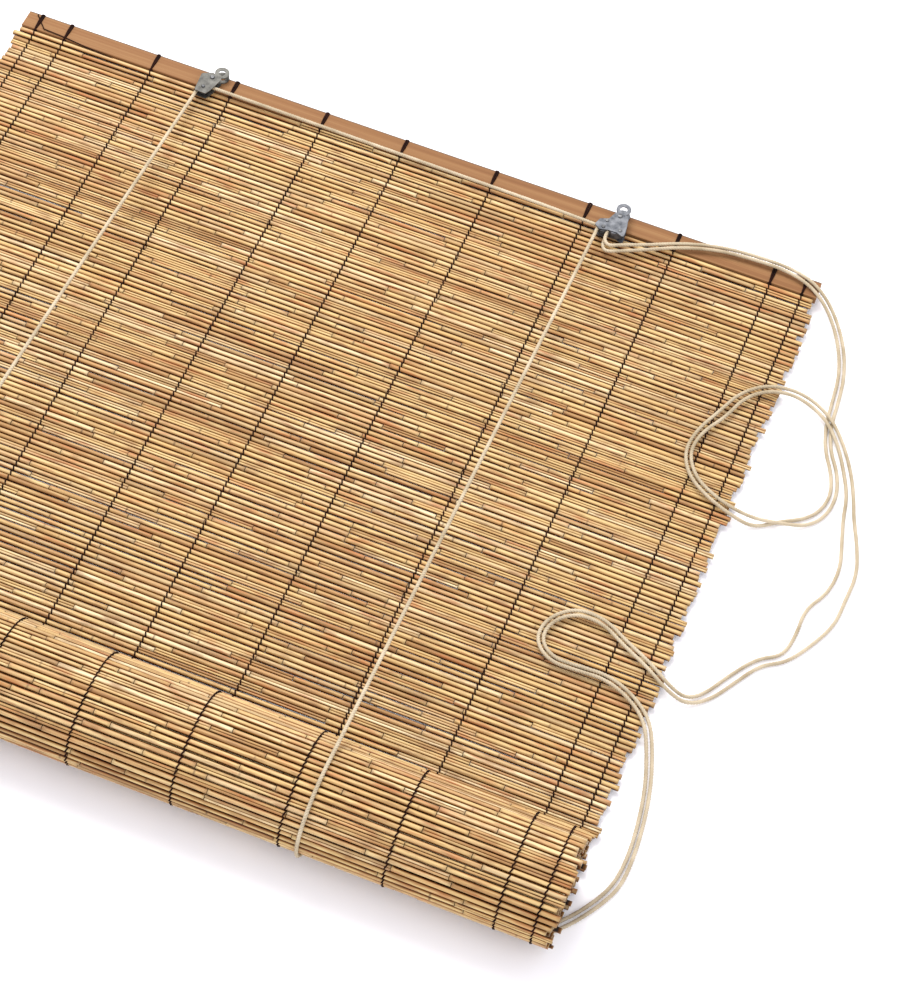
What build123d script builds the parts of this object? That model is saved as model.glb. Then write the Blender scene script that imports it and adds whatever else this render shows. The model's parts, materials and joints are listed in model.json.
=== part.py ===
from build123d import *
import math
import os

os.makedirs("parts", exist_ok=True)

# A reed roll-up blind, lying face up and partly rolled, as on a table.
# X runs along the headrail, Y points to the headrail, Z is up from the table.
# All sizes are in millimetres.

# Headrail, a flat wooden slat
rail_length = 900.0
rail_width = 22.0
rail_thickness = 10.0
rail_edge_round = 0.8

# Reed mat, flat part and rolled part
mat_width = 898.0
reed_diameter = 5.0
reed_pitch = 6.0
reed_flat = 2.8
web_thickness = 1.6
flat_reeds = 125
mat_play = 0.3
slit_width = 0.8
slit_length = 70.0
slit_row_step = 24
slit_first_row = 6

# The roll is a little flattened, and its turns lie close on each other
roll_half_width = 60.5
roll_half_height = 45.5
roll_turns = 4.45
turn_pitch = 7.0

# Warp threads, in eleven lines across the reeds
warp_pitch = 100.0
edge_warp_x = 434.5
warp_wander = [2, -6, -2, -11, -9, -5, -5]
outer_warp_wander = 0.5
warp_width = 2.4
warp_thickness = 0.8
warp_play = 0.1
roll_warp_steps = 20
roll_warp_turn_deg = 300.0

# Cords
cord_diameter = 3.6
cord_play = 0.3
rail_cord_end = 2.0
wrap_step_deg = 30.0
cord_drop_start = 3.0
cord_drop_length = 5.2
cord_level_run = 13.0
straight_exit = 3.0
sheave_cord_play = 0.15

# Staples that hold the cord ends behind the headrail
staple_wire = 0.9
staple_half_span = 2.6
staple_leg = 6.0
staple_places = [6.0, 16.0]
staple_fit = 0.03

# Both pulleys
plate_thickness = 1.2
plate_corner = 2.0
eye_outer_radius = 7.8
eye_hole_radius = 3.75
groove_wall = 0.45
sheave_side_play = 0.2
sheave_flange = 2.0
axle_radius = 1.2
axle_play = 0.05
rivet_head_radius = 2.1
rivet_head_height = 0.9
rivet_tail_height = 0.6
screw_radius = 1.5
screw_fit = 0.03
screw_head_radius = 2.6
screw_head_height = 1.3
screw_depth = 8.0
spacer_wall = 1.4

# Left pulley, measured from its own reference point on the rail's lower edge
left_pulley_x = -233.0
left_gap = 6.4
left_corners = [(-10.3, 10.2), (0.5, 15.8), (12.6, 11.0), (7.9, -6.8), (4.9, -14.5), (-8.2, -14.1)]
left_eye = (9.3, 19.3)
left_screw_at = (2.3, 9.3)
left_axle_at = (-1.6, -6.0)
sheave_groove_radius = 3.55

# Cord lock, measured in the same way
lock_x = 222.0
lock_gap = 9.4
lock_corners = [
    (3.6, 12.5), (-0.5, 1.2), (-9.2, -2.6), (-11.8, -11.5), (-5.5, -16.0),
    (3.5, -13.6), (12.7, -13.2), (21.6, -17.0), (20.4, -2.8), (17.6, 12.0),
]
lock_eye = (9.6, 18.8)
lock_screw_at = (9.0, 8.7)
lock_axle_at = (-2.4, -11.4)
lock_stay_at = (-1.5, -2.2)
cam_pivot_at = (15.5, -9.6)
cam_hub_radius = 3.6
cam_reach = 10.2
cam_nose_width = 4.4
cam_rest_deg = 205.0
cam_side_play = 0.2
cord_exit_drop = 5.1

# Knots at the free ends of the pull cords
knot_radius = 4.0
knot_length = 10.0

# Worked out from the sizes above
cord_radius = cord_diameter / 2
reed_radius = reed_diameter / 2
mat_mid_z = cord_diameter + cord_play + reed_radius
rail_bottom_z = staple_wire + cord_diameter + staple_fit
rail_top_z = rail_bottom_z + rail_thickness
roll_mid_wide = roll_half_width - reed_radius
roll_mid_high = roll_half_height - reed_radius
wrap_half_width = roll_half_width + cord_play + cord_radius
wrap_half_height = roll_half_height + cord_play + cord_radius
flat_length = flat_reeds * reed_pitch
roll_drop = 2 * mat_play + flat_length
ear_reach = max(left_eye[1], lock_eye[1]) + eye_outer_radius
front_reach = roll_drop + wrap_half_width - turn_pitch / 4 + cord_radius
rail_edge_y = (front_reach - ear_reach) / 2
roll_y = rail_edge_y - roll_drop
roll_z = mat_mid_z + roll_mid_high
inner_warps = [warp_pitch * (i - 3) + wander for i, wander in enumerate(warp_wander)]
second_warps = [-4 * warp_pitch, 4 * warp_pitch]
outer_warps = [-edge_warp_x + outer_warp_wander, edge_warp_x + outer_warp_wander]
warp_places = sorted(inner_warps + second_warps + outer_warps)
cord_round = sheave_groove_radius + sheave_cord_play + cord_radius


def save(part, name):
    part.label = name
    export_step(part, "parts/" + name + ".step")


def at_pulley(pulley_x, place):
    return (pulley_x + place[0], rail_edge_y + place[1])


# A point of the roll's middle line: turn 0 is under the roll, and it winds to the front first
def roll_point(turn, outwards):
    angle = turn * 2 * math.pi
    wide = roll_mid_wide - turn_pitch * turn
    high = roll_mid_high - turn_pitch * turn
    side_y = math.sin(angle) / wide
    side_z = math.cos(angle) / high
    size = math.hypot(side_y, side_z)
    y = roll_y - wide * math.sin(angle) - outwards * side_y / size
    z = roll_z - high * math.cos(angle) - outwards * side_z / size
    return (y, z)


# How much of a turn one step of this length along the middle line takes
def turn_step(turn, length):
    here = roll_point(turn, 0)
    ahead = roll_point(turn + 0.001, 0)
    return 0.001 * length / math.hypot(ahead[0] - here[0], ahead[1] - here[1])


# Headrail, with holes for the two fixing screws and the staples' legs
left_cord_x = left_pulley_x + left_axle_at[0] - cord_round
right_cord_x = lock_x + lock_axle_at[0] - cord_round
staple_spots = [
    (cord_x, rail_edge_y + place) for cord_x in (left_cord_x, right_cord_x) for place in staple_places
]
leg_spots = [
    (x + side * staple_half_span, y) for x, y in staple_spots for side in (-1, 1)
]
screw_spots = [at_pulley(left_pulley_x, left_screw_at), at_pulley(lock_x, lock_screw_at)]
with BuildPart() as headrail:
    with BuildSketch(Plane.XY.offset(rail_bottom_z)):
        with Locations((0, rail_edge_y + rail_width / 2)):
            Rectangle(rail_length, rail_width)
    extrude(amount=rail_thickness)
    fillet(headrail.edges().filter_by(Axis.X), radius=rail_edge_round)
    with BuildSketch(Plane.XY.offset(rail_top_z - screw_depth)):
        with Locations(*screw_spots):
            Circle(screw_radius + screw_fit)
    extrude(amount=screw_depth, mode=Mode.SUBTRACT)
    with BuildSketch(Plane.XY.offset(rail_bottom_z)):
        with Locations(*leg_spots):
            Circle(staple_wire / 2 + staple_fit)
    extrude(amount=staple_leg, mode=Mode.SUBTRACT)
save(headrail.part, "headrail")

# Flat part of the mat: one ridge for each reed, joined by a thin web where the threads pass
shoulder = (reed_pitch - reed_flat) / 2
mat_top_y = rail_edge_y - mat_play
flat_top = [(mat_top_y, mat_mid_z + web_thickness / 2)]
for reed in range(flat_reeds):
    reed_y = mat_top_y - reed * reed_pitch
    flat_top.append((reed_y - shoulder, mat_mid_z + reed_radius))
    flat_top.append((reed_y - shoulder - reed_flat, mat_mid_z + reed_radius))
    flat_top.append((reed_y - reed_pitch, mat_mid_z + web_thickness / 2))
flat_under = [(y, 2 * mat_mid_z - z) for y, z in reversed(flat_top)]
slit_spots = []
for bay in range(len(warp_places) - 1):
    bay_x = (warp_places[bay] + warp_places[bay + 1]) / 2
    bay_width = warp_places[bay + 1] - warp_places[bay]
    if bay_width > slit_length + 2 * warp_width:
        first_row = slit_first_row + (bay % 3) * slit_row_step // 3
        for row in range(first_row, flat_reeds, slit_row_step):
            slit_spots.append((bay_x, mat_top_y - row * reed_pitch, mat_mid_z))
with BuildPart() as reed_mat:
    with BuildSketch(Plane.YZ.offset(-mat_width / 2)):
        with BuildLine():
            Polyline(*flat_top, *flat_under, close=True)
        make_face()
    extrude(amount=mat_width)
    with Locations(*slit_spots):
        Box(slit_length, slit_width, reed_diameter, mode=Mode.SUBTRACT)
save(reed_mat.part, "reed_mat")
print("slits in the flat mat", len(slit_spots))

# Rolled part of the mat, one wall wound inwards with the same ridges
turn = turn_step(0, mat_play + web_thickness)
roll_outer = [roll_point(turn, web_thickness / 2)]
roll_inner = [roll_point(turn, -web_thickness / 2)]
rolled_reeds = 0
while turn < roll_turns:
    step = turn_step(turn, reed_pitch)
    for part_of_step in (shoulder / reed_pitch, 1 - shoulder / reed_pitch):
        roll_outer.append(roll_point(turn + part_of_step * step, reed_radius))
        roll_inner.append(roll_point(turn + part_of_step * step, -reed_radius))
    turn = turn + step
    roll_outer.append(roll_point(turn, web_thickness / 2))
    roll_inner.append(roll_point(turn, -web_thickness / 2))
    rolled_reeds = rolled_reeds + 1
with BuildPart() as rolled_mat:
    with BuildSketch(Plane.YZ.offset(-mat_width / 2)):
        with BuildLine():
            Polyline(*roll_outer, *reversed(roll_inner), close=True)
        make_face()
    extrude(amount=mat_width)
save(rolled_mat.part, "rolled_mat")
print("reeds in the roll", rolled_reeds, "drop", round(rail_width + (flat_reeds + rolled_reeds) * reed_pitch))

# Warp threads of the flat part: each pair loops round the headrail and lies on both faces of the mat
warp_inside = reed_radius + warp_play
warp_outside = warp_inside + warp_thickness
mat_low_y = mat_top_y - flat_length
rail_out_y = rail_edge_y + rail_width + warp_play
step_y = rail_edge_y - mat_play - warp_play
inside_loop = [
    (mat_low_y, mat_mid_z - warp_inside),
    (step_y, mat_mid_z - warp_inside),
    (rail_edge_y, rail_bottom_z - warp_play),
    (rail_out_y, rail_bottom_z - warp_play),
    (rail_out_y, rail_top_z + warp_play),
    (step_y, rail_top_z + warp_play),
    (step_y, mat_mid_z + warp_inside),
    (mat_low_y, mat_mid_z + warp_inside),
]
outside_loop = [
    (mat_low_y, mat_mid_z + warp_outside),
    (step_y - warp_thickness, mat_mid_z + warp_outside),
    (step_y - warp_thickness, rail_top_z + warp_play + warp_thickness),
    (rail_out_y + warp_thickness, rail_top_z + warp_play + warp_thickness),
    (rail_out_y + warp_thickness, rail_bottom_z - warp_play - warp_thickness),
    (rail_edge_y, rail_bottom_z - warp_play - warp_thickness),
    (step_y, mat_mid_z - warp_outside),
    (mat_low_y, mat_mid_z - warp_outside),
]
for number, warp_x in enumerate(warp_places, 1):
    with BuildPart() as warp_thread:
        with BuildSketch(Plane.YZ.offset(warp_x - warp_width / 2)):
            with BuildLine():
                Polyline(*inside_loop, *outside_loop, close=True)
            make_face()
        extrude(amount=warp_width)
    save(warp_thread.part, f"warp_thread_{number}")

# Warp threads of the roll, seen on its outermost turn
half_step = math.radians(roll_warp_turn_deg / roll_warp_steps / 2)
warp_lift = warp_inside + roll_half_width * (1 - math.cos(half_step))
first_turn = turn_step(0, mat_play + warp_play)
band_turns = [
    first_turn + (roll_warp_turn_deg / 360 - first_turn) * i / roll_warp_steps
    for i in range(roll_warp_steps + 1)
]
band_inside = [roll_point(t, warp_lift) for t in band_turns]
band_outside = [roll_point(t, warp_lift + warp_thickness) for t in reversed(band_turns)]
for number, warp_x in enumerate(warp_places, 1):
    with BuildPart() as roll_thread:
        with BuildSketch(Plane.YZ.offset(warp_x - warp_width / 2)):
            with BuildLine():
                Polyline(*band_inside, *band_outside, close=True)
            make_face()
        extrude(amount=warp_width)
    save(roll_thread.part, f"roll_thread_{number}")


# A stamped pulley plate: a rounded body with a hanging eye, and its holes
def plate_sketch(pulley_x, corners, eye, holes):
    with BuildSketch() as outline:
        with BuildLine():
            Polyline(*[at_pulley(pulley_x, corner) for corner in corners], close=True)
        make_face()
        fillet(outline.vertices(), radius=plate_corner)
        with Locations(at_pulley(pulley_x, eye)):
            Circle(eye_outer_radius)
            Circle(eye_hole_radius, mode=Mode.SUBTRACT)
        for place, radius in holes:
            with Locations(at_pulley(pulley_x, place)):
                Circle(radius, mode=Mode.SUBTRACT)
    return outline.sketch


def save_plates(name, sketch, gap):
    with BuildPart() as back_plate:
        add(sketch.moved(Location((0, 0, rail_top_z))))
        extrude(amount=plate_thickness)
    save(back_plate.part, name + "_back_plate")
    with BuildPart() as front_plate:
        add(sketch.moved(Location((0, 0, rail_top_z + plate_thickness + gap))))
        extrude(amount=plate_thickness)
    save(front_plate.part, name + "_front_plate")


# A rivet through both plates, with a domed head in front and a low tail behind
def save_rivet(name, place, gap):
    stack = 2 * plate_thickness + gap
    with BuildPart() as rivet:
        with BuildSketch(Plane.XY.offset(rail_top_z - rivet_tail_height)):
            with Locations(place):
                Circle(rivet_head_radius)
        extrude(amount=rivet_tail_height)
        with BuildSketch(Plane.XY.offset(rail_top_z)):
            with Locations(place):
                Circle(axle_radius)
        extrude(amount=stack)
        with BuildSketch(Plane.XY.offset(rail_top_z + stack)):
            with Locations(place):
                Circle(rivet_head_radius)
        extrude(amount=rivet_head_height)
        dome_edge = rivet.edges().filter_by(GeomType.CIRCLE).group_by(Axis.Z)[-1]
        fillet(dome_edge, radius=rivet_head_height * 0.8)
    save(rivet.part, name)


# A fixing screw into the headrail, and the sleeve that keeps the plates apart round it
def save_screw_and_spacer(name, place, gap):
    stack = 2 * plate_thickness + gap
    with BuildPart() as screw:
        with BuildSketch(Plane.XY.offset(rail_top_z - screw_depth + screw_fit)):
            with Locations(place):
                Circle(screw_radius)
        extrude(amount=screw_depth - screw_fit + stack)
        point_edge = screw.edges().filter_by(GeomType.CIRCLE).group_by(Axis.Z)[0]
        chamfer(point_edge, length=screw_radius * 0.8)
        with BuildSketch(Plane.XY.offset(rail_top_z + stack)):
            with Locations(place):
                Circle(screw_head_radius)
        extrude(amount=screw_head_height)
        dome_edge = screw.edges().filter_by(GeomType.CIRCLE).group_by(Axis.Z)[-1]
        fillet(dome_edge, radius=screw_head_height * 0.8)
    save(screw.part, name + "_fixing_screw")
    with BuildPart() as spacer:
        with BuildSketch(Plane.XY.offset(rail_top_z + plate_thickness)):
            with Locations(place):
                Circle(screw_radius + screw_fit + spacer_wall)
                Circle(screw_radius + screw_fit, mode=Mode.SUBTRACT)
        extrude(amount=gap)
    save(spacer.part, name + "_spacer")


# A sheave with one groove for each cord, stacked along its axle
def save_sheave(name, place, gap, grooves):
    width = gap - 2 * sheave_side_play
    flange_radius = sheave_groove_radius + sheave_flange
    groove_pitch = width / grooves
    groove_half = groove_pitch / 2 - groove_wall / 2
    base_z = rail_top_z + plate_thickness + sheave_side_play
    with BuildPart() as sheave:
        with BuildSketch(Plane.XY.offset(base_z)):
            with Locations(place):
                Circle(flange_radius)
                Circle(axle_radius + axle_play, mode=Mode.SUBTRACT)
        extrude(amount=width)
        for groove in range(grooves):
            middle = base_z + groove_pitch * (groove + 0.5)
            with BuildSketch(Plane(origin=(place[0], place[1], middle), x_dir=(1, 0, 0), z_dir=(0, -1, 0))):
                with Locations((sheave_groove_radius + groove_half, 0)):
                    Ellipse(groove_half, groove_half)
                with Locations((sheave_groove_radius + 2 * groove_half, 0)):
                    Rectangle(2 * groove_half, 2 * groove_half)
            revolve(axis=Axis((place[0], place[1], 0), (0, 0, 1)), mode=Mode.SUBTRACT)
    save(sheave.part, name)


# Left pulley
left_screw = at_pulley(left_pulley_x, left_screw_at)
left_axle = at_pulley(left_pulley_x, left_axle_at)
left_holes = [(left_screw_at, screw_radius + screw_fit), (left_axle_at, axle_radius)]
left_sketch = plate_sketch(left_pulley_x, left_corners, left_eye, left_holes)
save_plates("left_pulley", left_sketch, left_gap)
save_rivet("left_pulley_axle", left_axle, left_gap)
save_screw_and_spacer("left_pulley", left_screw, left_gap)
save_sheave("left_sheave", left_axle, left_gap, 1)

# Cord lock
lock_screw = at_pulley(lock_x, lock_screw_at)
lock_axle = at_pulley(lock_x, lock_axle_at)
lock_stay = at_pulley(lock_x, lock_stay_at)
cam_pivot = at_pulley(lock_x, cam_pivot_at)
lock_holes = [
    (lock_screw_at, screw_radius + screw_fit),
    (lock_axle_at, axle_radius),
    (lock_stay_at, axle_radius),
    (cam_pivot_at, axle_radius),
]
lock_sketch = plate_sketch(lock_x, lock_corners, lock_eye, lock_holes)
save_plates("cord_lock", lock_sketch, lock_gap)
save_rivet("cord_lock_axle", lock_axle, lock_gap)
save_rivet("cord_lock_stay", lock_stay, lock_gap)
save_rivet("cam_pivot", cam_pivot, lock_gap)
save_screw_and_spacer("cord_lock", lock_screw, lock_gap)
save_sheave("lock_sheave", lock_axle, lock_gap, 2)

# Locking cam, at rest swung clear of the cords
nose_angle = math.radians(cam_rest_deg)
nose_along = (math.cos(nose_angle), math.sin(nose_angle))
nose_across = (-nose_along[1], nose_along[0])


def cam_point(along, across):
    return (
        cam_pivot[0] + along * nose_along[0] + across * nose_across[0],
        cam_pivot[1] + along * nose_along[1] + across * nose_across[1],
    )


tooth = cam_nose_width / 3
nose_inset = cam_reach - tooth / 2
cam_outline = [
    cam_point(0, -cam_hub_radius),
    cam_point(nose_inset - tooth, -cam_nose_width / 2),
    cam_point(cam_reach - tooth / 2, -tooth),
    cam_point(nose_inset - tooth / 2, -tooth / 2),
    cam_point(cam_reach, 0),
    cam_point(nose_inset - tooth / 2, tooth / 2),
    cam_point(cam_reach - tooth / 2, tooth),
    cam_point(nose_inset - tooth, cam_nose_width / 2),
    cam_point(0, cam_hub_radius),
]
with BuildPart() as locking_cam:
    with BuildSketch(Plane.XY.offset(rail_top_z + plate_thickness + cam_side_play)):
        with BuildLine():
            Polyline(*cam_outline, close=True)
        make_face()
        with Locations(cam_pivot):
            Circle(cam_hub_radius)
            Circle(axle_radius + axle_play, mode=Mode.SUBTRACT)
    extrude(amount=lock_gap - 2 * cam_side_play)
save(locking_cam.part, "locking_cam")

# Staples behind the headrail, two over each cord end
with BuildPart() as cord_staples:
    for x, y in staple_spots:
        with BuildLine() as staple_line:
            FilletPolyline(
                (x - staple_half_span, y, rail_bottom_z + staple_leg - staple_fit),
                (x - staple_half_span, y, staple_wire / 2),
                (x + staple_half_span, y, staple_wire / 2),
                (x + staple_half_span, y, rail_bottom_z + staple_leg - staple_fit),
                radius=staple_wire / 2 + staple_fit,
            )
        with BuildSketch(Plane(origin=staple_line.line @ 0, z_dir=staple_line.line % 0)):
            Circle(staple_wire / 2)
        sweep(path=staple_line.line)
save(cord_staples.part, "cord_staples")


# The largest arc that two neighbouring runs of a cord leave room for, at each corner
def corner_radii(points):
    radii = []
    for before, corner, after in zip(points, points[1:], points[2:]):
        run_in = Vector(*corner) - Vector(*before)
        run_out = Vector(*after) - Vector(*corner)
        half_turn = math.radians(run_in.get_angle(run_out) / 2)
        radii.append(0.45 * min(run_in.length, run_out.length) / math.tan(half_turn))
    return radii


# How far the cord's turn reaches from the roll's middle, at an angle from straight down to the front
def wrap_reach(angle):
    shrink = turn_pitch * angle / (2 * math.pi)
    return math.hypot(
        (wrap_half_width - shrink) * math.sin(angle), (wrap_half_height - shrink) * math.cos(angle)
    )


# Where two tangents of the cord's turn round the roll meet
def wrap_corner(cord_x, first, second):
    turned = math.sin(second - first)
    forward = (wrap_reach(second) * math.cos(first) - wrap_reach(first) * math.cos(second)) / turned
    down = (wrap_reach(first) * math.sin(second) - wrap_reach(second) * math.sin(first)) / turned
    return (cord_x, roll_y - forward, roll_z - down)


# The route of a lift cord from its staples, behind the mat, round the roll and up to its sheave
def lift_route(cord_x, sheave_y, sheave_z):
    rail_cord_z = staple_wire + cord_radius + staple_fit / 2
    route = [
        (cord_x, rail_edge_y + rail_width - rail_cord_end, rail_cord_z),
        (cord_x, rail_edge_y + cord_drop_start, rail_cord_z),
        (cord_x, rail_edge_y + cord_drop_start - cord_drop_length, cord_radius),
    ]
    sheave_y = sheave_y - cord_level_run
    away = math.hypot(roll_y - sheave_y, roll_z - sheave_z)
    bearing = 2 * math.pi + math.atan2(roll_y - sheave_y, roll_z - sheave_z)
    leave = math.pi
    for _ in range(4):
        leave = bearing - math.acos(wrap_reach(leave) / away)
    tangents = [math.radians(wrap_step_deg * i) for i in range(6)] + [leave]
    for first, second in zip(tangents, tangents[1:]):
        route.append(wrap_corner(cord_x, first, second))
    route.append((cord_x, sheave_y, sheave_z))
    return route


def save_cord(name, points, radii):
    with BuildPart() as cord:
        with BuildLine() as cord_line:
            FilletPolyline(*points, radius=radii)
        with BuildSketch(Plane(origin=cord_line.line @ 0, z_dir=cord_line.line % 0)):
            Circle(cord_radius)
        sweep(path=cord_line.line)
    length = sum(edge.length for edge in cord_line.edges())
    share = cord.part.volume / (math.pi * cord_radius ** 2 * length)
    print(name, "length", round(length), "volume share", round(share, 4), "radii", [round(r, 1) for r in radii])
    save(cord.part, name)


lock_floor_z = rail_top_z + plate_thickness + sheave_side_play
lock_groove = (lock_gap - 2 * sheave_side_play) / 2
left_groove_z = rail_top_z + plate_thickness + left_gap / 2
lower_groove_z = lock_floor_z + lock_groove / 2
upper_groove_z = lock_floor_z + lock_groove * 1.5
exit_x = lock_axle[0] + cord_round
over_lock_y = lock_axle[1] + cord_round
exit_y = lock_axle[1] - cord_exit_drop

# Left lift cord: over the left sheave, along the headrail and down through the cord lock
left_over_y = left_axle[1] + cord_round
left_route = lift_route(left_cord_x, left_over_y, left_groove_z)
left_radii = corner_radii(left_route + [(left_cord_x, left_over_y, left_groove_z)])
left_route = left_route + [
    (left_cord_x, left_over_y, left_groove_z),
    (exit_x, over_lock_y, lower_groove_z),
    (exit_x, exit_y, lower_groove_z),
]
save_cord("left_lift_cord", left_route, left_radii + [cord_round, cord_round])

# Right lift cord: over the lock's upper groove and straight down again
right_route = lift_route(right_cord_x, over_lock_y, upper_groove_z)
right_radii = corner_radii(right_route + [(right_cord_x, over_lock_y, upper_groove_z)])
right_route = right_route + [
    (right_cord_x, over_lock_y, upper_groove_z),
    (exit_x, over_lock_y, upper_groove_z),
    (exit_x, exit_y, upper_groove_z),
]
upper_bend = cord_round * 0.98
save_cord("right_lift_cord", right_route, right_radii + [upper_bend, upper_bend])

# Free lengths of the two pull cords, from the lock over the rail's end and along the table,
# then in a loop over the mat's edge, down beside it and in under the end of the roll.
# Each point is measured from the rail's middle and its lower edge, with its height.
right_pull_points = [
    (226, -25, 22), (232, -29, 20.5), (245, -21, 20), (268, -10, 19),
    (298, 6, 19), (336, 19, 19.5), (377, 23, 19.5), (415, 23, 19.5), (446, 14, 19),
    (472, -6, 11), (494, -38, 4), (506, -73, 2.2), (510, -107, 2.1), (512, -141, 2),
    (520, -168, 2), (535, -192, 2), (543, -220, 2), (539, -248, 2), (524, -266, 2.4),
    (501, -275, 6.6), (478, -280, 6.6), (456, -282, 12), (430, -276, 14.6), (406, -261, 14),
    (392, -236, 14), (396, -208, 14), (412, -181, 14), (421, -152, 14), (440, -133, 14.6),
    (464, -125, 12), (487, -127, 7), (508, -140, 7), (526, -162, 5), (541, -189, 2),
    (552, -215, 2), (556, -241, 2), (563, -268, 2), (571, -299, 2), (568, -331, 2),
    (553, -357, 2), (554, -389, 2), (549, -416, 2), (528, -428, 2), (510, -455, 2),
    (494, -485, 2), (479, -499, 4), (460, -496, 12), (437, -482, 14.6), (408, -468, 14),
    (382, -453, 14), (352, -452, 14), (330, -473, 14), (327, -500, 14), (347, -518, 14),
    (376, -517, 14), (404, -515, 14), (431, -526, 14.4), (453, -543, 12), (466, -573, 4.5),
    (476, -606, 2.2), (482, -645, 2), (484, -676, 2), (482, -704, 2), (473, -727, 2),
    (457, -752, 2), (441, -769, 2.4),
]
left_pull_points = [
    (225.4, -28, 17), (230, -34, 16.5), (244, -28, 17), (269, -16, 18.5),
    (300, 1, 19.2), (337, 14, 19.6), (377, 18, 19.4), (413, 18, 19.6), (443, 9, 18.8),
    (468, -9, 11), (489, -40, 4), (501, -75, 2.1), (504, -108, 2), (507, -142, 2.1),
    (515, -170, 2), (529, -194, 2), (537, -220, 2), (532, -244, 2), (519, -259, 2.1),
    (500, -270, 2.2), (478, -288, 2.3), (455, -290, 12), (427, -281, 14.4), (401, -264, 14.1),
    (387, -237, 14), (391, -206, 14), (404, -177, 14.1), (415, -148, 14), (437, -127, 14.5),
    (464, -119, 12), (489, -121, 7.1), (512, -136, 7), (531, -159, 5), (547, -185, 2.1),
    (558, -212, 2), (566, -238, 2), (578, -266, 2.1), (588, -299, 2), (586, -333, 2),
    (585, -361, 2), (574, -388, 2.1), (555, -421, 2), (533, -434, 2), (518, -459, 2.1),
    (501, -489, 2), (481, -505, 4), (458, -501, 12), (435, -487, 14.5), (406, -473, 14.1),
    (382, -458.5, 14), (354, -457.5, 14), (335, -475, 14.1), (332, -498, 14), (349, -513, 14),
    (376, -512, 14.1), (405, -510, 14), (434, -521.5, 14.3), (457.5, -540, 12), (471, -571, 4.5),
    (481, -605, 2.1), (487, -645, 2), (489, -676, 2.1), (488, -706, 2), (478, -730, 2),
    (461, -757, 2.1), (446, -774, 2.4),
]
knot_places = [(425, -776, knot_radius), (432, -785.5, knot_radius)]


def pull_route(exit_z, points, knot):
    start = [(exit_x, exit_y, exit_z), (exit_x, exit_y - straight_exit, exit_z)]
    laid = [(x, y + rail_edge_y, z) for x, y, z in points]
    back = Vector(*laid[-1]) - Vector(knot[0], knot[1] + rail_edge_y, knot[2])
    back = Vector(back.X, back.Y, 0).normalized()
    ends = [
        (knot[0] + back.X * away, knot[1] + rail_edge_y + back.Y * away, knot[2])
        for away in (knot_length / 2 + straight_exit, knot_length / 2)
    ]
    return start + laid + ends


# An overhand knot, drawn as a ball on the cord's end
def save_knot(name, route, knot):
    end = Vector(*route[-1])
    middle = Vector(knot[0], knot[1] + rail_edge_y, knot[2])
    with BuildPart() as knot_part:
        with BuildSketch(Plane(origin=end, z_dir=(middle - end).normalized())):
            Circle(cord_radius)
        extrude(amount=knot_length)
        with Locations(middle):
            Sphere(knot[2])
    save(knot_part.part, name)


right_pull_route = pull_route(upper_groove_z, right_pull_points, knot_places[0])
left_pull_route = pull_route(lower_groove_z, left_pull_points, knot_places[1])
save_cord("right_pull_cord", right_pull_route, corner_radii(right_pull_route))
save_cord("left_pull_cord", left_pull_route, corner_radii(left_pull_route))
save_knot("right_cord_knot", right_pull_route, knot_places[0])
save_knot("left_cord_knot", left_pull_route, knot_places[1])
print("rail edge y", rail_edge_y, "roll", roll_y, roll_z, "top", roll_z + wrap_half_height + cord_radius)
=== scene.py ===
import json
import math
import random

import bpy
import numpy as np
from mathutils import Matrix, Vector


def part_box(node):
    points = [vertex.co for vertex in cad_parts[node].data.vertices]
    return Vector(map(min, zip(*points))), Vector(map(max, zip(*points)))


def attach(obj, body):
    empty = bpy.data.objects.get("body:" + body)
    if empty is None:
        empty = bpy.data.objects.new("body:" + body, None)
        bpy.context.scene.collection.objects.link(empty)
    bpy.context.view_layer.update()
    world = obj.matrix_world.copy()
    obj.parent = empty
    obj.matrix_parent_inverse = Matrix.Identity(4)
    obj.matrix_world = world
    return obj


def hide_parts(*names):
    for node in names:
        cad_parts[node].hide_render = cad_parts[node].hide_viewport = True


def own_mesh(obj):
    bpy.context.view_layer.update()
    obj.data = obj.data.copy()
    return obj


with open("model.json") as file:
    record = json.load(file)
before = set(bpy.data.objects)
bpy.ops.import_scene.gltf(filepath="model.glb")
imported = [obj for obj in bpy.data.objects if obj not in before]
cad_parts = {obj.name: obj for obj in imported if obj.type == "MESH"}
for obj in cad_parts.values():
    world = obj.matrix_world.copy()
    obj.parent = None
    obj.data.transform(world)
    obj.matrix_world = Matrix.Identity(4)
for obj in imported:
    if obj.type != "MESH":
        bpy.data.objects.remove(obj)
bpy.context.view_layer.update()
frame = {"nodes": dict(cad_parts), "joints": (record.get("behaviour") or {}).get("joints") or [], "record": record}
nodes = frame["nodes"]
joints = {joint["name"]: joint for joint in frame["joints"]}
scene = bpy.context.scene
print("frame loaded")


# The corners of a solid, to the micrometre
def solidBox(name):
    return [[round(value, 6) for value in corner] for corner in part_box(name)]


# Sizes shared by the pieces, in metres
railLow, railHigh = solidBox("headrail")
matLow, matHigh = solidBox("reed_mat")
threadNumbers = range(1, sum(name.startswith("warp_thread_") for name in nodes) + 1)
threadBoxes = [solidBox("warp_thread_%d" % i) for i in threadNumbers]
blind = {
    "edgeY": railLow[1],  # the headrail's lower edge
    "halfWidth": matHigh[0],
    "reedRadius": (matHigh[2] - matLow[2]) / 2,
    "reedPitch": 0.006,
    "middleZ": (matHigh[2] + matLow[2]) / 2,
    "topRise": 0.0052,  # the mat bends up to its ties on the headrail
    "riseLength": 0.014,
    "threadLines": [round((low[0] + high[0]) / 2, 6) for low, high in threadBoxes],
}
flatLength = matHigh[1] - matLow[1]
flatRows = round(flatLength / blind["reedPitch"])
rollTravel = joints["raise_roll"]["range_m"][1]

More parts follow.
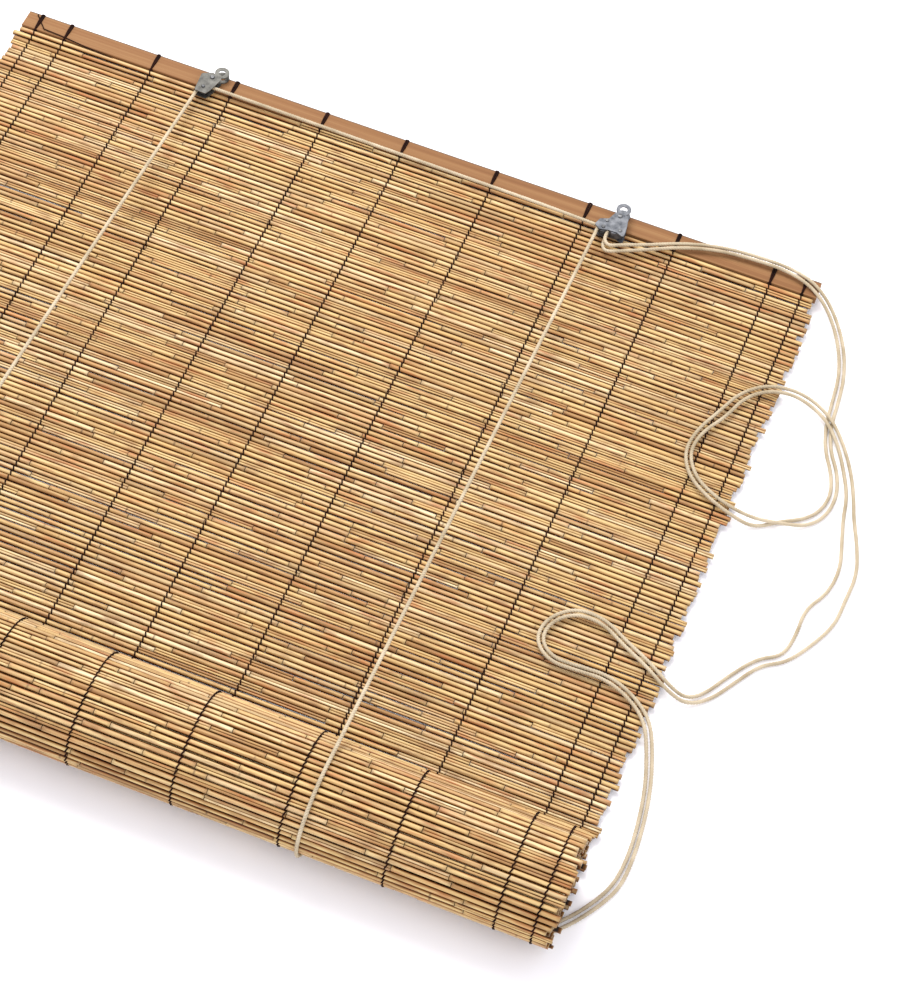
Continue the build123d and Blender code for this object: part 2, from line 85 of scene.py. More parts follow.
# The middle line of the roll's outer turn, which shrinks by turnPitch with each turn inwards
roll = {
    "wide": 0.058, "high": 0.043, "turnPitch": 0.007, "turns": 4.45,
    "y": matLow[1] - (blind["edgeY"] - matHigh[1]),
}
roll["z"] = blind["middleZ"] + roll["high"]


# A node's socket that takes part in Python expressions
class Value:
    def __init__(self, tree, socket):
        self.tree = tree
        self.socket = socket

    def mathNode(self, operation, *values):
        return self.tree.node("ShaderNodeMath", {"operation": operation}, dict(enumerate(values)))

    def __add__(self, other):
        return self.mathNode("ADD", self, other)

    def __sub__(self, other):
        return self.mathNode("SUBTRACT", self, other)

    def __mul__(self, other):
        return self.mathNode("MULTIPLY", self, other)

    def larger(self, other):
        return self.mathNode("MAXIMUM", self, other)

    def clamp(self):
        return self.mathNode("MINIMUM", self.larger(0.0), 1.0)


# A node tree, for a material, the world or a modifier
class Tree:
    def __init__(self, nodeTree):
        self.nodes = nodeTree.nodes
        self.links = nodeTree.links
        self.nodes.clear()

    def node(self, kind, settings=None, inputs=None, output=0):
        made = self.nodes.new(kind)
        for key, value in (settings or {}).items():
            if key == "stops":
                ramp = made.color_ramp
                while len(ramp.elements) < len(value):
                    ramp.elements.new(0.5)
                for element, (place, color) in zip(ramp.elements, value):
                    element.position = place
                    element.color = (*color, 1.0)
            else:
                setattr(made, key, value)
        for key, value in (inputs or {}).items():
            if isinstance(value, Value):
                self.links.new(value.socket, made.inputs[key])
            else:
                made.inputs[key].default_value = value
        return Value(self, made.outputs[output]) if len(made.outputs) else None


def linear(red, green, blue):
    def one(value):
        value = value / 255
        return value / 12.92 if value <= 0.04045 else ((value + 0.055) / 1.055) ** 2.4
    return (one(red), one(green), one(blue))


# A ramp's stops, from colours in steps of 1/255
def stops(*pairs):
    return [(place, linear(*color)) for place, color in pairs]


class MaterialTree(Tree):
    def __init__(self, name):
        self.material = bpy.data.materials.new(name)
        self.material.use_nodes = True
        super().__init__(self.material.node_tree)
        self.place = self.node("ShaderNodeTexCoord", output="Object")

    # Noise on the object's own place, with its scale along each axis
    def noise(self, scale, detail=3.0, rough=0.55, aside=(0.0, 0.0, 0.0)):
        mapped = self.node(
            "ShaderNodeMapping", {}, {"Vector": self.place, "Scale": scale, "Location": aside}
        )
        inputs = {"Vector": mapped, "Scale": 1.0, "Detail": detail, "Roughness": rough}
        return self.node("ShaderNodeTexNoise", {}, inputs)

    def attribute(self, name):
        return self.node("ShaderNodeAttribute", {"attribute_name": name}, {}, "Fac")

    def ramp(self, factor, rampStops):
        return self.node("ShaderNodeValToRGB", {"stops": rampStops}, {"Fac": factor})

    def mix(self, factor, first, second, blend="MIX"):
        settings = {"data_type": "RGBA", "blend_type": blend}
        return self.node("ShaderNodeMix", settings, {0: factor, 6: first, 7: second}, 2)

    # Lays a colour over another where a pattern is high
    def laid(self, under, pattern, color, gain=1.0, start=0.0, strength=1.0):
        mask = (pattern * gain - start).clamp() * strength
        return self.mix(mask, under, (*linear(*color), 1.0))

    def bump(self, height, strength, distance):
        inputs = {"Height": height, "Strength": strength, "Distance": distance}
        return self.node("ShaderNodeBump", {}, inputs)

    def finish(self, **inputs):
        named = {key.replace("_", " "): value for key, value in inputs.items()}
        shader = self.node("ShaderNodeBsdfPrincipled", {}, named)
        self.node("ShaderNodeOutputMaterial", {}, {"Surface": shader})
        return self.material


# Each reed has a tone of its own, and painted shade makes it darker towards its neighbours and underneath
reedFinish = {
    "tones": stops(
        (0.0, (166, 124, 72)), (0.1, (188, 144, 88)), (0.2, (205, 169, 108)),
        (0.36, (223, 190, 128)), (0.5, (213, 173, 108)), (0.6, (231, 201, 143)),
        (0.74, (196, 151, 96)), (0.84, (238, 211, 160)), (0.93, (180, 146, 94)),
        (1.0, (248, 225, 176)),
    ),
    # painted shade: a slight cool dimming of the outward faces as painted sheen, going to dark brown on the shaded
    # sides
    "sides": [(0.0, (0.86, 0.88, 0.92)), *stops((0.4, (158, 115, 44)), (1.0, (24, 8, 0)))],
    "streak": {"color": (150, 96, 40), "gain": 1.8, "start": 0.7, "strength": 0.5},
    "pale": {"color": (232, 204, 142), "gain": 3.5, "start": 1.7, "strength": 0.6},
    "stain": {"color": (150, 106, 66), "gain": 5.0, "start": 2.45, "strength": 0.7},
    "red": {"color": (188, 108, 54), "gain": 6.0, "start": 3.3, "strength": 0.6},
    "knot": {"color": (78, 48, 22), "strength": 0.75},
    "knotHeight": 0.6,
    "bump": {"strength": 0.35, "distance": 0.0006},
}


def reedMaterial():
    tree = MaterialTree("reeds")
    mark = tree.attribute("mark")
    streaks = tree.noise((9.0, 900.0, 900.0), 4.0, 0.6)
    patches = tree.noise((22.0, 160.0, 160.0), 2.0)
    stains = tree.noise((34.0, 210.0, 210.0), aside=(3.0, 1.0, 2.0))
    reds = tree.noise((26.0, 190.0, 190.0), 2.0, aside=(7.0, 5.0, 4.0))
    color = tree.ramp(tree.attribute("tone"), reedFinish["tones"])
    color = tree.laid(color, streaks, **reedFinish["streak"])
    color = tree.laid(color, patches, **reedFinish["pale"])
    color = tree.laid(color, stains, **reedFinish["stain"])
    color = tree.laid(color, reds, **reedFinish["red"])
    color = tree.laid(color, mark, **reedFinish["knot"])
    # painted shade and sheen from the per-point attribute, multiplied into the reed's colour
    sides = tree.ramp(tree.attribute("shade").clamp(), reedFinish["sides"])
    return tree.finish(
        Base_Color=tree.mix(1.0, color, sides, "MULTIPLY"),
        Roughness=(streaks * 0.25 + 0.36), Specular_IOR_Level=0.3,
        Normal=tree.bump(streaks + mark * reedFinish["knotHeight"], **reedFinish["bump"]),
    )


threadFinish = {
    "tones": stops((0.3, (20, 8, 5)), (0.7, (44, 20, 14))),
    "bump": {"strength": 0.5, "distance": 0.0003},
}


def threadMaterial():
    tree = MaterialTree("darkThread")
    fuzz = tree.noise((900.0, 900.0, 900.0), 2.0)
    worn = tree.noise((60.0, 60.0, 60.0), 2.0)
    return tree.finish(
        Base_Color=tree.ramp(worn, threadFinish["tones"]),
        Roughness=0.9, Specular_IOR_Level=0.1, Normal=tree.bump(fuzz, **threadFinish["bump"]),
    )


# The slat's upper edge is greyer, in a line that starts edgeLine from it
railFinish = {
    "bands": stops((0.3, (118, 78, 46)), (0.5, (136, 95, 59)), (0.72, (149, 111, 72))),
    "grain": {"color": (108, 71, 41), "gain": 2.2, "start": 0.75, "strength": 0.4},
    "patch": {"color": (150, 113, 66), "gain": 2.5, "start": 1.3, "strength": 0.3},
    "edge": {"color": (92, 84, 78), "gain": 1400.0, "strength": 0.8},
    "edgeLine": 0.0019,
    "bump": {"strength": 0.3, "distance": 0.0005},
}


def railMaterial():
    tree = MaterialTree("slatBamboo")
    acrossRail = tree.node("ShaderNodeSeparateXYZ", {}, {"Vector": tree.place}, "Y")
    grain = tree.noise((6.0, 1100.0, 500.0), 5.0, 0.65)
    bands = tree.noise((1.6, 150.0, 60.0))
    patches = tree.noise((9.0, 30.0, 30.0), 2.0)
    color = tree.ramp(bands, railFinish["bands"])
    color = tree.laid(color, grain, **railFinish["grain"])
    color = tree.laid(color, patches, **railFinish["patch"])
    pastLine = acrossRail - (railHigh[1] - railFinish["edgeLine"])
    color = tree.laid(color, pastLine, **railFinish["edge"])
    return tree.finish(
        Base_Color=color, Roughness=(grain * 0.2 + 0.55), Specular_IOR_Level=0.2,
        Normal=tree.bump(grain, **railFinish["bump"]),
    )


metalFinishes = {
    "pulleySteel": {"light": (108, 107, 102), "dark": (58, 57, 55), "rough": 0.4},
    "lockSteel": {"light": (122, 124, 129), "dark": (66, 69, 75), "rough": 0.4},
    "stapleSteel": {"light": (200, 200, 200), "dark": (140, 140, 140), "rough": 0.3},
    "rivetSteel": {"light": (120, 121, 123), "dark": (60, 60, 62), "rough": 0.24},
}


# Dull zinc: cloudy, with a fine grain
def metalMaterial(name):
    metal = metalFinishes[name]
    tree = MaterialTree(name)
    cloud = tree.noise((160.0, 160.0, 160.0), 4.0, 0.6)
    fine = tree.noise((2400.0, 2400.0, 900.0), 2.0)
    return tree.finish(
        Base_Color=tree.ramp(cloud, stops((0.32, metal["dark"]), (0.68, metal["light"]))),
        Metallic=0.55, Roughness=(cloud * 0.2 + metal["rough"]), Specular_IOR_Level=0.3,
        Normal=tree.bump(fine + cloud, 0.25, 0.0002),
    )


def nylonMaterial():
    tree = MaterialTree("sheaveNylon")
    cloud = tree.noise((300.0, 300.0, 300.0))
    return tree.finish(
        Base_Color=tree.ramp(cloud, stops((0.3, (26, 26, 27)), (0.7, (52, 51, 50)))),
        Roughness=0.5, Normal=tree.bump(cloud, 0.2, 0.0002),
    )


cordFinish = {
    "tones": stops((0.3, (166, 150, 122)), (0.68, (202, 187, 160))),
    "fuzz": {"color": (140, 122, 94), "gain": 2.0, "start": 0.8, "strength": 0.35},
    "bump": {"strength": 0.5, "distance": 0.0003},
}


def cordMaterial():
    tree = MaterialTree("cottonCord")
    fuzz = tree.noise((1500.0, 1500.0, 1500.0))
    dirt = tree.noise((40.0, 40.0, 40.0))
    color = tree.laid(tree.ramp(dirt, cordFinish["tones"]), fuzz, **cordFinish["fuzz"])
    return tree.finish(
        Base_Color=color, Roughness=0.9, Normal=tree.bump(fuzz, **cordFinish["bump"])
    )


materials = {
    "reeds": reedMaterial(),
    "dark_thread": threadMaterial(),
    "slat_bamboo": railMaterial(),
    "pulley_steel": metalMaterial("pulleySteel"),
    "lock_steel": metalMaterial("lockSteel"),
    "staple_steel": metalMaterial("stapleSteel"),
    "sheave_nylon": nylonMaterial(),
    "cotton_cord": cordMaterial(),
}
for subpart in frame["record"]["subparts"]:
    mesh = nodes[subpart["node"]].data
    mesh.materials.clear()
    mesh.materials.append(materials[subpart["material_slot"]])
rivetMaterial = metalMaterial("rivetSteel")
for name in (
    "left_pulley_axle", "left_pulley_fixing_screw", "cord_lock_axle", "cord_lock_stay",
    "cam_pivot", "cord_lock_fixing_screw",
):
    nodes[name].data.materials[0] = rivetMaterial
print("materials ready")


# Geometry Nodes tree that turns lines with a width at each point into closed tubes
def tubeTree(material, sides):
    group = bpy.data.node_groups.new("tubes", "GeometryNodeTree")
    newSocket = group.interface.new_socket
    newSocket("Lines", in_out="INPUT", socket_type="NodeSocketGeometry")
    radius = newSocket("Tube Radius", in_out="INPUT", socket_type="NodeSocketFloat")
    newSocket("Tubes", in_out="OUTPUT", socket_type="NodeSocketGeometry")
    tree = Tree(group)
    lines = tree.node("NodeGroupInput", output="Lines")
    tubeRadius = tree.node("NodeGroupInput", output="Tube Radius")
    width = tree.node(
        "GeometryNodeInputNamedAttribute", {"data_type": "FLOAT"}, {"Name": "width"}, "Attribute"
    )
    curve = tree.node("GeometryNodeMeshToCurve", {}, {"Mesh": lines})
    circle = tree.node("GeometryNodeCurvePrimitiveCircle", {}, {"Resolution": sides, "Radius": 1.0})
    sweepInputs = {
        "Curve": curve, "Profile Curve": circle, "Scale": width * tubeRadius, "Fill Caps": True,
    }
    swept = tree.node("GeometryNodeCurveToMesh", {}, sweepInputs)
    smooth = tree.node("GeometryNodeSetShadeSmooth", {}, {"Geometry": swept})
    real = tree.node("GeometryNodeRealizeInstances", {}, {"Geometry": smooth})
    painted = tree.node("GeometryNodeSetMaterial", {}, {"Geometry": real, "Material": material})
    tree.node("NodeGroupOutput", {}, {"Tubes": painted})
    return group, radius.identifier


# Painted shade: how a tube darkens away from its outward face, and how little of that its cut ends get
paintedSideShade = {
    "start": 0.78, "range": 0.62, "curve": 1.3,
    "endFrom": 1.1, "endFall": 1.7, "least": 0.1,
}


# Lines collected for one piece
class Lines:
    def __init__(self):
        self.points = []
        self.edges = []
        self.values = {"width": [], "tone": [], "mark": [], "outY": [], "outZ": []}

    def add(self, points, width=1.0, tone=0.5, mark=0.0, out=(0.0, 1.0)):
        start = len(self.points)
        self.points.extend(points)
        self.edges.extend((start + i, start + i + 1) for i in range(len(points) - 1))
        given = {"width": width, "tone": tone, "mark": mark, "outY": out[0], "outZ": out[1]}
        for key, value in given.items():
            many = isinstance(value, (list, tuple))
            self.values[key].extend(value if many else [value] * len(points))

    def make(self, name, radius, sides, material):
        mesh = bpy.data.meshes.new(name)
        mesh.from_pydata([tuple(p) for p in self.points], self.edges, [])
        for key, values in self.values.items():
            data = mesh.attributes.new(key, "FLOAT", "POINT")
            data.data.foreach_set("value", values)
        piece = bpy.data.objects.new(name, mesh)
        scene.collection.objects.link(piece)
        group, radiusInput = tubeTree(material, sides)
        modifier = piece.modifiers.new("tubes", "NODES")
        modifier.node_group = group
        modifier[radiusInput] = radius
        shown = piece.evaluated_get(bpy.context.evaluated_depsgraph_get())
        plain = bpy.data.meshes.new_from_object(shown)
        plain.name = name
        piece.modifiers.clear()
        piece.data = plain
        plain.materials.clear()
        plain.materials.append(material)
        self.paintSideShade(plain)
        print(name, "triangles", sum(len(p.vertices) - 2 for p in plain.polygons))
        return piece

    # Painted shade: the sides that face a neighbouring line, and the underside, are darker than the outward face,
    # standing for the shade in the gaps
    def paintSideShade(self, plain):
        count = len(plain.vertices)
        normals = np.empty(count * 3)
        plain.vertex_normals.foreach_get("vector", normals)
        normals = normals.reshape(-1, 3)
        outward = []
        for key in ("outY", "outZ"):
            values = np.empty(count)
            plain.attributes[key].data.foreach_get("value", values)
            outward.append(values)
        # painted shade, from how far each vertex's normal turns away from the outward direction
        facing = normals[:, 1] * outward[0] + normals[:, 2] * outward[1]
        turned = np.clip((paintedSideShade["start"] - facing) / paintedSideShade["range"], 0.0, 1.0)
        along = paintedSideShade["endFrom"] - paintedSideShade["endFall"] * np.abs(normals[:, 0])
        data = plain.attributes.new("shade", "FLOAT", "POINT")
        shade = turned ** paintedSideShade["curve"] * np.clip(along, paintedSideShade["least"], 1.0)
        data.data.foreach_set("value", shade)


# Places on the flat mat and on the roll, by the length down from the mat's top
def flatPlace(length, lift):
    rise = blind["topRise"] * math.exp(-length / blind["riseLength"])
    return (matHigh[1] - length, blind["middleZ"] + rise + lift)


# Turn 0 is under the roll, and the mat winds to the front first
def rollPoint(turn, outwards):
    angle = turn * 2 * math.pi
    wide = roll["wide"] - roll["turnPitch"] * turn
    high = roll["high"] - roll["turnPitch"] * turn
    sideY = math.sin(angle) / wide
    sideZ = math.cos(angle) / high
    size = math.hypot(sideY, sideZ)
    return (
        roll["y"] - wide * math.sin(angle) - outwards * sideY / size,
        roll["z"] - high * math.cos(angle) - outwards * sideZ / size,
    )


turnSamples = np.linspace(0.0, roll["turns"] + 0.1, 4000)  # a little past the inner end
rollLine = np.array([rollPoint(turn, 0.0) for turn in turnSamples])
rollLengths = np.concatenate([[0.0], np.cumsum(np.hypot(*np.diff(rollLine, axis=0).T))])
outerTurnLength = float(np.interp(1.0, turnSamples, rollLengths))
rollLength = float(np.interp(roll["turns"], turnSamples, rollLengths))


def rollPlace(length, lift):
    return rollPoint(float(np.interp(length, rollLengths, turnSamples)), lift)


# Reeds: each row is several lengths of reed laid end to end
reedLook = {
    "lengths": (0.045, 0.22),
    "shortest": 0.001,
    "lastLeast": 0.06,  # a shorter rest at the row's end is joined to the reed before it
    "endGap": 0.0007,
    "raggedLeft": (-0.001, 0.0065),
    "raggedRight": (-0.002, 0.0065),
    "thickness": (0.95, 1.15),
    "taper": (1.02, 0.05),
    "ownTone": 0.62,  # share of reeds with a tone of their own, the rest keep near their row's
    "toneSpread": 0.1,
    "drift": 0.00027,
    "firstKnot": 0.02,
    "knotEvery": (0.16, 0.34),
    "knotHalf": 0.0016,
    "knotMark": (0.4, 1.0),
    "knotMargin": 0.01,
    "knotSwell": 1.07,
    "cutEnd": 0.02,  # share of a reed's length at each end that doesn't swell
    "endMark": 0.4,
    "endFade": 0.0035,
    "paired": 0.26,  # share of places with two thin reeds in place of one
    "pair": [(-1, 0.55), (1, 0.53)],  # side and thickness of the two
    "pairAside": 0.00135,
    "pairLift": 0.0006,
    "pairTone": 0.05,
    "sides": 10,
    "rollStart": 0.002,
    "rollInset": 0.004,  # the inner turns end a little inside the outer one
}
chance = random.Random(41)


def between0And1(value):
    return min(max(value, 0), 1)


# Places along a reed, each with how dark it is there: its ends and its knots
def reedStations(start, stop):
    stations = [(start, reedLook["endMark"]), (start + reedLook["endFade"], 0.0)]
    knot = start + chance.uniform(reedLook["firstKnot"], reedLook["knotEvery"][1])
    half = reedLook["knotHalf"]
    while knot < stop - reedLook["knotMargin"]:
        mark = chance.uniform(*reedLook["knotMark"])
        stations += [(knot - half, 0.0), (knot, mark), (knot + half, 0.0)]
        knot += chance.uniform(*reedLook["knotEvery"])
    end = stop - reedLook["endGap"]
    return stations + [(end - reedLook["endFade"], 0.0), (end, reedLook["endMark"])]


def reedRow(lines, place, middle, inset=0.0):
    rowTone = chance.random()
    inner = place(middle, 0.0)
    outer = place(middle, 0.001)  # a millimetre further out
    out = ((outer[0] - inner[0]) * 1000, (outer[1] - inner[1]) * 1000)
    x = -blind["halfWidth"] - chance.uniform(*reedLook["raggedLeft"]) + inset
    end = blind["halfWidth"] + chance.uniform(*reedLook["raggedRight"]) - inset
    while x < end - reedLook["shortest"]:
        stop = min(x + chance.uniform(*reedLook["lengths"]), end)
        if end - stop < reedLook["lastLeast"]:
            stop = end
        if chance.random() < reedLook["ownTone"]:
            tone = chance.random()
        else:
            spread = reedLook["toneSpread"]
            tone = between0And1(rowTone + chance.uniform(-spread, spread))
        radius = chance.uniform(*reedLook["thickness"])
        aside, skew, lift = (chance.uniform(-1, 1) * reedLook["drift"] for _ in range(3))
        stations = reedStations(x, stop)
        bend = chance.uniform(-1, 1) * reedLook["drift"]
        paired = chance.random() < reedLook["paired"]
        for beside, thickness in (reedLook["pair"] if paired else [(0, 1.0)]):
            points, widths = [], []
            for stationX, mark in stations:
                share = (stationX - x) / max(stop - x, reedLook["shortest"])
                sway = bend * math.sin(math.pi * share) + skew * (share - 0.5)
                sway += beside * reedLook["pairAside"]
                y, z = place(middle + aside + sway, lift + reedLook["pairLift"] * abs(beside))
                points.append((stationX, y, z))
                atKnot = mark > 0 and reedLook["cutEnd"] < share < 1 - reedLook["cutEnd"]
                swell = reedLook["knotSwell"] if atKnot else 1.0
                full, taper = reedLook["taper"]
                widths.append(radius * thickness * swell * (full - taper * share))
            pieceTone = between0And1(tone + reedLook["pairTone"] * beside)
            lines.add(points, widths, pieceTone, [mark for _, mark in stations], out)
        x = stop


reedArgs = (blind["reedRadius"], reedLook["sides"], materials["reeds"])
flatReeds = Lines()
for row in range(flatRows):
    reedRow(flatReeds, flatPlace, (row + 0.5) * blind["reedPitch"])
flatMat = flatReeds.make("reedRows", *reedArgs)

rollReeds = Lines()
for row in range(int((rollLength - reedLook["rollStart"]) / blind["reedPitch"])):
    length = reedLook["rollStart"] + (row + 0.5) * blind["reedPitch"]
    inset = reedLook["rollInset"] if length > outerTurnLength else 0.0
    reedRow(rollReeds, rollPlace, length, inset)
rollMat = rollReeds.make("rolledReedRows", *reedArgs)
print("reeds ready")

# Warp threads: a pair of strands that pass over and under alternate reeds and cross in each gap
threadLook = {
    "radius": 0.00082,
    "sides": 5,
    "sway": 0.0011,
    "overLift": 0.003,
    "flatUnderLift": 0.0028,
    "rollUnderLift": 0.0026,
    # share of a reed's pitch, and share of the lift there
    "weave": [(0.06, 0.25), (0.28, 0.9), (0.5, 1.0), (0.72, 0.9), (0.94, 0.25)],
}


def strandPair(lines, lineX, place, rows, start, underLift):
    for side in (1, -1):
        points = []
        for row in range(rows):
            swing = 1 if row % 2 == 0 else -1
            top = side * swing
            lift = threadLook["overLift"] if top > 0 else underLift
            for share, height in threadLook["weave"]:
                y, z = place(start + (row + share) * blind["reedPitch"], top * height * lift)
                across = side * swing * (share - 0.5) * 2 * threadLook["sway"] * top
                points.append((lineX + across, y, z))
        lines.add(points, 1.0)


# The threads' loops round the headrail, and the loose tail of one of them along it
loopLook = {
    "width": 1.4, "aside": 0.001, "wobble": 0.0004,
    "off": 0.0006,  # the thread's middle from the slat
    "corner": 0.001,
    "lean": (0.6, 0.6, 1.7),  # how the two threads of a pair cross as they go round
    "tailWidth": 0.8,
    "tail": [
        (-0.440, 0.0195, 0.0153), (-0.425, 0.003, 0.0156), (-0.40, 0.0015, 0.0154),
        (-0.37, -0.0012, 0.0142), (-0.335, -0.003, 0.0122), (-0.305, -0.0025, 0.0115),
        (-0.292, -0.0065, 0.0105),
    ],
}


def railLoop(lines, lineX, aside):
    off, corner = loopLook["off"], loopLook["corner"]
    edge, back = railLow[1], railHigh[1]
    low, high = railLow[2], railHigh[2]
    matY = matHigh[1] - corner
    wobble = chance.uniform(-loopLook["wobble"], loopLook["wobble"])
    # From the top of the mat over the slat, and back under it
    loop = [
        (matY, blind["middleZ"] + 0.006), (edge - 0.0008, blind["middleZ"] + 0.007),
        (edge - off, high - corner), (edge + 0.0012, high + off),
        (edge + 0.011, high + off), (back - corner, high + off),
        (back + off, high - corner), (back + off, low + corner),
        (back - corner, low - off), (edge + corner, low - off),
        (edge - off, low + 0.0002), (matY, blind["middleZ"] - 0.001),
    ]
    least, swing, turn = loopLook["lean"]
    points = []
    for i, (y, z) in enumerate(loop):
        points.append((lineX + aside * (least + swing * math.sin(turn * i)) + wobble, y, z))
    lines.add(points, loopLook["width"])


flatThreads = Lines()
rollThreads = Lines()
railLoops = Lines()
rollThreadRows = int(outerTurnLength / blind["reedPitch"]) - 1
for lineX in blind["threadLines"]:
    strandPair(flatThreads, lineX, flatPlace, flatRows, 0.0, threadLook["flatUnderLift"])
    strandPair(
        rollThreads, lineX, rollPlace, rollThreadRows, reedLook["rollStart"],
        threadLook["rollUnderLift"],
    )
    for aside in (-loopLook["aside"], loopLook["aside"]):
        railLoop(railLoops, lineX, aside)
railLoops.add([(x, blind["edgeY"] + y, z) for x, y, z in loopLook["tail"]], loopLook["tailWidth"])
threadArgs = (threadLook["radius"], threadLook["sides"], materials["dark_thread"])
flatThread = flatThreads.make("warpStrands", *threadArgs)
rollThread = rollThreads.make("rollStrands", *threadArgs)
railTies = railLoops.make("railLoops", *threadArgs)
print("threads ready")

# Cords: three strands laid round a line, which a spline smooths where the cord is free
cordLook = {
    "radius": 0.0018, "play": 0.0003, "fuzzRadius": 0.00205, "strandShare": 0.56,
    "strands": 3, "lay": 0.0085, "step": 0.0016, "sides": 6,
}


def splineCord(name, route):
    curve = bpy.data.curves.new(name, "CURVE")
    curve.dimensions = "3D"
    spline = curve.splines.new("NURBS")
    spline.points.add(len(route) - 1)
    for point, place in zip(spline.points, route):
        point.co = (*place, 1.0)
    spline.order_u = 3
    spline.use_endpoint_u = True
    spline.resolution_u = 8
    guide = bpy.data.objects.new(name, curve)
    scene.collection.objects.link(guide)
    shown = guide.evaluated_get(bpy.context.evaluated_depsgraph_get())
    line = bpy.data.meshes.new_from_object(shown)
    places = [v.co.copy() for v in line.vertices]
    bpy.data.objects.remove(guide)
    bpy.data.meshes.remove(line)
    return places


def evenly(places, step):
    gaps = [(b - a).length for a, b in zip(places, places[1:])]
    lengths = np.concatenate([[0.0], np.cumsum(gaps)])
    count = max(2, int(lengths[-1] / step) + 1)
    wanted = np.linspace(0.0, lengths[-1], count)
    data = np.array(places)
    return [Vector([float(np.interp(w, lengths, data[:, k])) for k in range(3)]) for w in wanted]


def twisted(name, places):
    points = evenly(places, cordLook["step"])
    strandRadius = cordLook["fuzzRadius"] * cordLook["strandShare"]
    offset = cordLook["fuzzRadius"] - strandRadius
    lines = Lines()
    along = [(b - a).normalized() for a, b in zip(points, points[1:])]
    along.append(along[-1])
    side = along[0].orthogonal().normalized()
    sides = []
    for direction in along:
        side = (side - direction * side.dot(direction)).normalized()
        sides.append(side)
    for strand in range(cordLook["strands"]):
        made = []
        for i, (point, direction, across) in enumerate(zip(points, along, sides)):
            turns = i * cordLook["step"] / cordLook["lay"] + strand / cordLook["strands"]
            angle = 2 * math.pi * turns
            upright = direction.cross(across)
            made.append(point + (across * math.cos(angle) + upright * math.sin(angle)) * offset)
        lines.add([tuple(p) for p in made], 1.0)
    return lines.make(name, strandRadius, cordLook["sides"], materials["cotton_cord"])


# The cord's way round the roll, from under it to where it runs off towards its sheave
wrap = {
    # The cord's middle from the middle of the reeds under it
    "out": blind["reedRadius"] + cordLook["play"] + cordLook["radius"],
    "steps": 60,
    "slopeStep": 0.001,
    "runOn": 0.036,  # the first stretch off the roll, which rides with it
}


def wrapReach(angle):
    out = wrap["out"] - roll["turnPitch"] * angle / (2 * math.pi)
    wide, high = roll["wide"] + out, roll["high"] + out
    return math.hypot(wide * math.sin(angle), high * math.cos(angle))


def wrapLine(x, sheaveY, sheaveZ):
    away = math.hypot(roll["y"] - sheaveY, roll["z"] - sheaveZ)
    bearing = 2 * math.pi + math.atan2(roll["y"] - sheaveY, roll["z"] - sheaveZ)
    leave = math.pi
    for _ in range(4):  # each pass comes nearer to the angle at which the cord leaves
        leave = bearing - math.acos(wrapReach(leave) / away)
    step = wrap["slopeStep"]
    places = []
    for i in range(wrap["steps"] + 1):
        angle = leave * i / wrap["steps"]
        slope = (wrapReach(angle + step) - wrapReach(angle - step)) / (2 * step)
        reach = wrapReach(angle)
        forward = reach * math.sin(angle) + slope * math.cos(angle)
        down = reach * math.cos(angle) - slope * math.sin(angle)
        z = max(roll["z"] - down, cordLook["radius"])
        places.append(Vector((x, roll["y"] - forward, z)))
    return places


# Part of a turn round a sheave
def arc(centre, z, radius, fromDeg, toDeg, steps=10):
    places = []
    for i in range(steps + 1):
        angle = math.radians(fromDeg + (toDeg - fromDeg) * i / steps)
        x = centre[0] + radius * math.cos(angle)
        places.append(Vector((x, centre[1] + radius * math.sin(angle), z)))
    return places


# The sheaves' grooves, and how the lift cords run between the rail, the roll and the lock
leftAxle = joints["left_sheave_turn"]["pos_m"]
lockAxle = joints["lock_sheave_turn"]["pos_m"]
liftLook = {
    "round": 0.0055,  # the cord's middle from the axle
    "levelRun": 0.013,
    "grooveAside": 0.00225,  # the lock's two grooves from its sheave's middle
    "exitDrop": 0.0051,
    "underRail": 0.0009 + cordLook["radius"],  # the staples' wire is between rail and floor
    "railRun": 0.02,
    "railExit": 0.001,
    "settled": 0.004,  # from here on the cord lies on the floor
    "sagX": 0.15,  # the cord between pulley and lock bows up a little here
    "sagY": 0.002,
}
grooves = {
    "left": leftAxle[2],
    "lower": lockAxle[2] - liftLook["grooveAside"],
    "upper": lockAxle[2] + liftLook["grooveAside"],
}
cordExit = (lockAxle[0] + liftLook["round"], lockAxle[1] - liftLook["exitDrop"])


def liftCord(side, axle, grooveZ, lastZ):
    cordRound = liftLook["round"]
    x = axle[0] - cordRound
    edge = blind["edgeY"]
    levelY = axle[1] + cordRound - liftLook["levelRun"]
    pulleyEnd = Vector((x, levelY, grooveZ))
    wrapped = wrapLine(x, levelY, grooveZ)
    rail = Vector((x, edge + liftLook["railExit"], liftLook["underRail"]))
    back = [rail, Vector((x, edge - liftLook["settled"], cordLook["radius"])), wrapped[0]]
    wrapped.append(wrapped[-1] + (pulleyEnd - wrapped[-1]).normalized() * wrap["runOn"])
    head = [pulleyEnd]
    if side == "left":
        head += arc(axle, grooveZ, cordRound, 180, 90)
        head.append(Vector((liftLook["sagX"], axle[1] + liftLook["sagY"], (grooveZ + lastZ) / 2)))
        head += arc(lockAxle, lastZ, cordRound, 90, 0)
    else:
        head += arc(axle, grooveZ, cordRound, 180, 0, 18)
    head.append(Vector((*cordExit, lastZ)))
    railEnd = Vector((x, edge + liftLook["railRun"], liftLook["underRail"]))
    return {
        "end": twisted(side + "CordEnd", [railEnd, rail]),
        "back": twisted(side + "CordBack", back),
        "wrap": twisted(side + "CordWrap", wrapped),
        "top": twisted(side + "CordTop", [wrapped[-1], pulleyEnd]),
        "head": twisted(side + "CordHead", head),
        "backLength": edge - wrapped[0].y,
        "topLength": levelY - wrapped[-1].y,
        "levelY": levelY,
    }


liftPieces = {
    "left": liftCord("left", leftAxle, grooves["left"], grooves["lower"]),
    "right": liftCord("right", lockAxle, grooves["upper"], grooves["upper"]),
}
print("lift cords ready")

